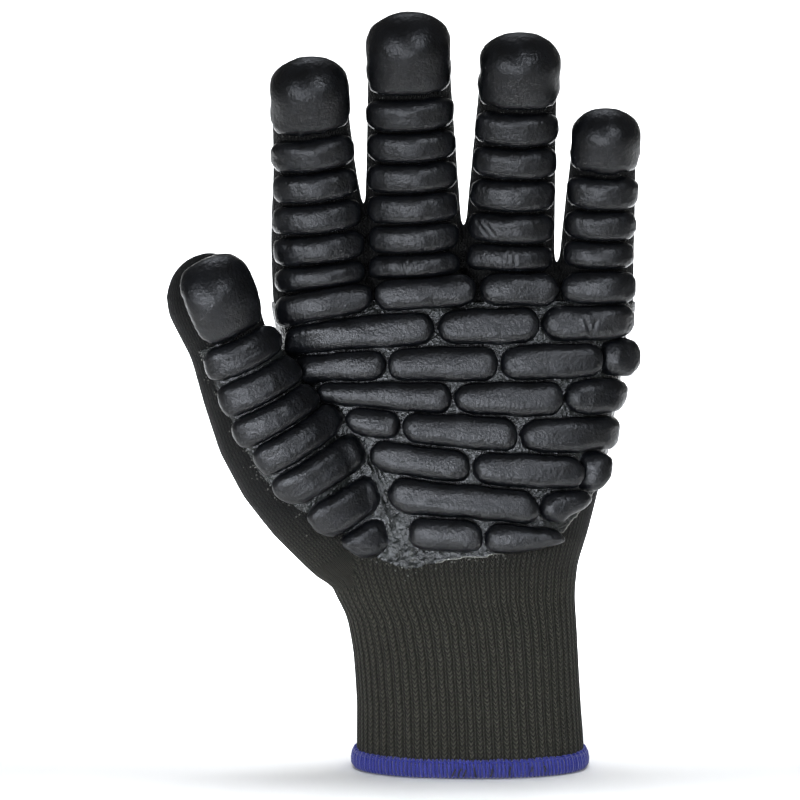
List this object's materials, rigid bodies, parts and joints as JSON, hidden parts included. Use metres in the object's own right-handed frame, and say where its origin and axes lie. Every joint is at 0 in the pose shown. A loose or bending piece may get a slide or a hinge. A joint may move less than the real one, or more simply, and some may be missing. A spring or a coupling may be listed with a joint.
{
  "type": "anti vibration glove",
  "caption": "Knitted work glove for the left hand, filled as if worn, with separate rubber cushion pads over the palm, fingers and thumb and an overlocked hem at the wrist.",
  "frame": {"origin": "centre of the wrist opening, in the plane of the lower edge of the hem", "axes": "+Z from the hem to the fingertips, -Y is the way the palm faces, -X is the thumb side"},
  "size_m": [0.1592, 0.0648, 0.2585],
  "materials": {
    "knit": "black seamless nylon knit, rib knit at the cuff",
    "overlock_thread": "blue overlock thread",
    "rubber_film": "thin glossy black chloroprene film",
    "rubber_pads": "satin black chloroprene with a fine pebble grain"
  },
  "bodies": {
    "root": {"cuff_hem": "overlock_thread", "index_rib_1": "rubber_pads", "index_rib_2": "rubber_pads", "index_rib_3": "rubber_pads", "index_rib_4": "rubber_pads", "index_rib_5": "rubber_pads", "index_tip_pad": "rubber_pads", "knit_shell": "knit", "little_rib_1": "rubber_pads", "little_rib_2": "rubber_pads", "little_rib_3": "rubber_pads", "little_tip_pad": "rubber_pads", "middle_rib_1": "rubber_pads", "middle_rib_2": "rubber_pads", "middle_rib_3": "rubber_pads", "middle_rib_4": "rubber_pads", "middle_rib_5": "rubber_pads", "middle_rib_6": "rubber_pads", "middle_tip_pad": "rubber_pads", "palm_coating": "rubber_film", "palm_pad_a1": "rubber_pads", "palm_pad_a2": "rubber_pads", "palm_pad_a3": "rubber_pads", "palm_pad_a4": "rubber_pads", "palm_pad_b1": "rubber_pads", "palm_pad_b2": "rubber_pads", "palm_pad_b3": "rubber_pads", "palm_pad_c1": "rubber_pads", "palm_pad_c2": "rubber_pads", "palm_pad_c3": "rubber_pads", "palm_pad_c4": "rubber_pads", "palm_pad_d1": "rubber_pads", "palm_pad_d2": "rubber_pads", "palm_pad_d3": "rubber_pads", "palm_pad_e1": "rubber_pads", "palm_pad_e2": "rubber_pads", "palm_pad_e3": "rubber_pads", "palm_pad_f1": "rubber_pads", "palm_pad_f2": "rubber_pads", "palm_pad_f3": "rubber_pads", "palm_pad_g1": "rubber_pads", "palm_pad_g2": "rubber_pads", "palm_pad_h1": "rubber_pads", "palm_pad_h2": "rubber_pads", "ring_rib_1": "rubber_pads", "ring_rib_2": "rubber_pads", "ring_rib_3": "rubber_pads", "ring_rib_4": "rubber_pads", "ring_rib_5": "rubber_pads", "ring_tip_pad": "rubber_pads", "thumb_rib_1": "rubber_pads", "thumb_rib_2": "rubber_pads", "thumb_rib_3": "rubber_pads", "thumb_rib_4": "rubber_pads", "thumb_rib_5": "rubber_pads", "thumb_rib_6": "rubber_pads", "thumb_rib_7": "rubber_pads", "thumb_tip_pad": "rubber_pads"}
  },
  "joints": []
}
